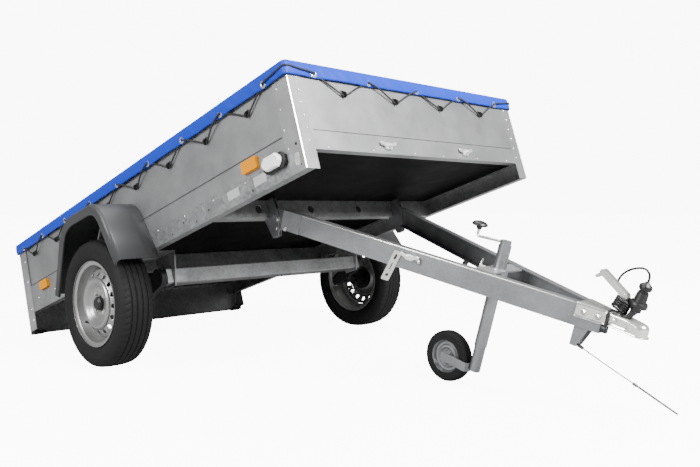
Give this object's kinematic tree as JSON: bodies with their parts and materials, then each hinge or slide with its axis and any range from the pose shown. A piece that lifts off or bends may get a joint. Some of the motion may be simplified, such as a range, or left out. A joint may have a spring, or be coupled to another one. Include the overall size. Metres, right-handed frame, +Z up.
{
  "type": "tipping utility trailer",
  "caption": "Single-axle box trailer with a tipping bed on an A-frame drawbar, flat laced cover, tailgate, ball coupling and jockey wheel",
  "frame": {"origin": "ground level under the middle of the parked trailer", "axes": "+X towards the coupling, +Y to the left, +Z up"},
  "size_m": [3.2323, 1.748, 1.1916],
  "materials": {
    "amber": "moulded lens",
    "clear": "moulded lens",
    "galvanised": "spangled zinc",
    "painted_black": "satin black",
    "plastic": "grained dark plastic",
    "plywood": "dark film-faced plywood",
    "red": "moulded lens",
    "rubber": "black rubber",
    "silver_paint": "silver wheel paint",
    "tarpaulin": "coated woven sheet",
    "tyre": "black rubber",
    "zinc": "bright zinc plate"
  },
  "bodies": {
    "bed": {"side_panel_right": "galvanised", "side_panel_left": "galvanised", "front_panel": "galvanised", "frame_rails": "galvanised", "front_posts": "galvanised", "rear_posts": "galvanised", "floor": "plywood", "cross_member_front": "galvanised", "cross_member_middle": "galvanised", "rear_beam": "galvanised", "rear_bumpers": "rubber", "rear_lamps": "red", "axle_beam": "galvanised", "axle_brackets": "galvanised", "swing_arms": "painted_black", "mudguard_right": "plastic", "mudguard_left": "plastic", "cover": "tarpaulin", "cover_rear_flap": "tarpaulin", "cover_hooks": "plastic", "side_markers": "amber", "front_lamp_bases": "plastic", "front_lamps": "clear", "tailgate_hinge_pins": "galvanised", "hinge_ears": "galvanised", "front_latches": "zinc"},
    "wheel_right": {"tyre_right": "tyre", "rim_right": "silver_paint", "hub_right": "painted_black"},
    "wheel_left": {"tyre_left": "tyre", "rim_left": "silver_paint", "hub_left": "painted_black"},
    "tailgate": {"tailgate": "galvanised", "tailgate_knuckles": "galvanised", "tailgate_latches": "zinc"},
    "drawbar": {"drawbar_arm_right": "galvanised", "drawbar_arm_left": "galvanised", "hinge_lugs": "galvanised", "latch_straps": "zinc", "hitch_bracket": "galvanised", "coupling": "zinc", "coupling_lever": "zinc", "plug_holder": "plastic", "cable_plug": "plastic", "jack_clamp": "zinc"},
    "jack": {"jack_tube": "zinc", "jack_crank": "zinc", "crank_knob": "plastic"},
    "jack_fork": {"jack_fork": "zinc"},
    "jockey_wheel": {"jockey_tyre": "tyre", "jockey_rim": "silver_paint"}
  },
  "joints": [
    {"name": "wheel_right_spin", "type": "hinge", "parent": "bed", "child": "wheel_right", "pos_m": [-0.4313, -0.789, 0.2735], "axis": [0, 1, 0], "continuous": true},
    {"name": "wheel_left_spin", "type": "hinge", "parent": "bed", "child": "wheel_left", "pos_m": [-0.4313, 0.789, 0.2735], "axis": [0, 1, 0], "continuous": true},
    {"name": "tailgate_hinge", "type": "hinge", "parent": "bed", "child": "tailgate", "pos_m": [-1.51783, 0, 0.17427], "axis": [0, -1, 0], "range_deg": [0, 90], "deforming": ["cover_rear_flap"]},
    {"name": "drawbar_hinge", "type": "hinge", "parent": "bed", "child": "drawbar", "pos_m": [0.22015, 0, 0.64917], "axis": [0, -1, 0], "range_deg": [0, 33.35]},
    {"name": "jack_slide", "type": "slide", "parent": "drawbar", "child": "jack", "axis": [0.2686, 0, 0.9632], "range_m": [0, 0.15]},
    {"name": "fork_swivel", "type": "hinge", "parent": "jack", "child": "jack_fork", "pos_m": [1.0312, 0, 0.42298], "axis": [0.2686, 0, 0.9632], "continuous": true},
    {"name": "jockey_spin", "type": "hinge", "parent": "jack_fork", "child": "jockey_wheel", "pos_m": [0.80824, 0, 0.1], "axis": [0, 1, 0], "continuous": true}
  ]
}
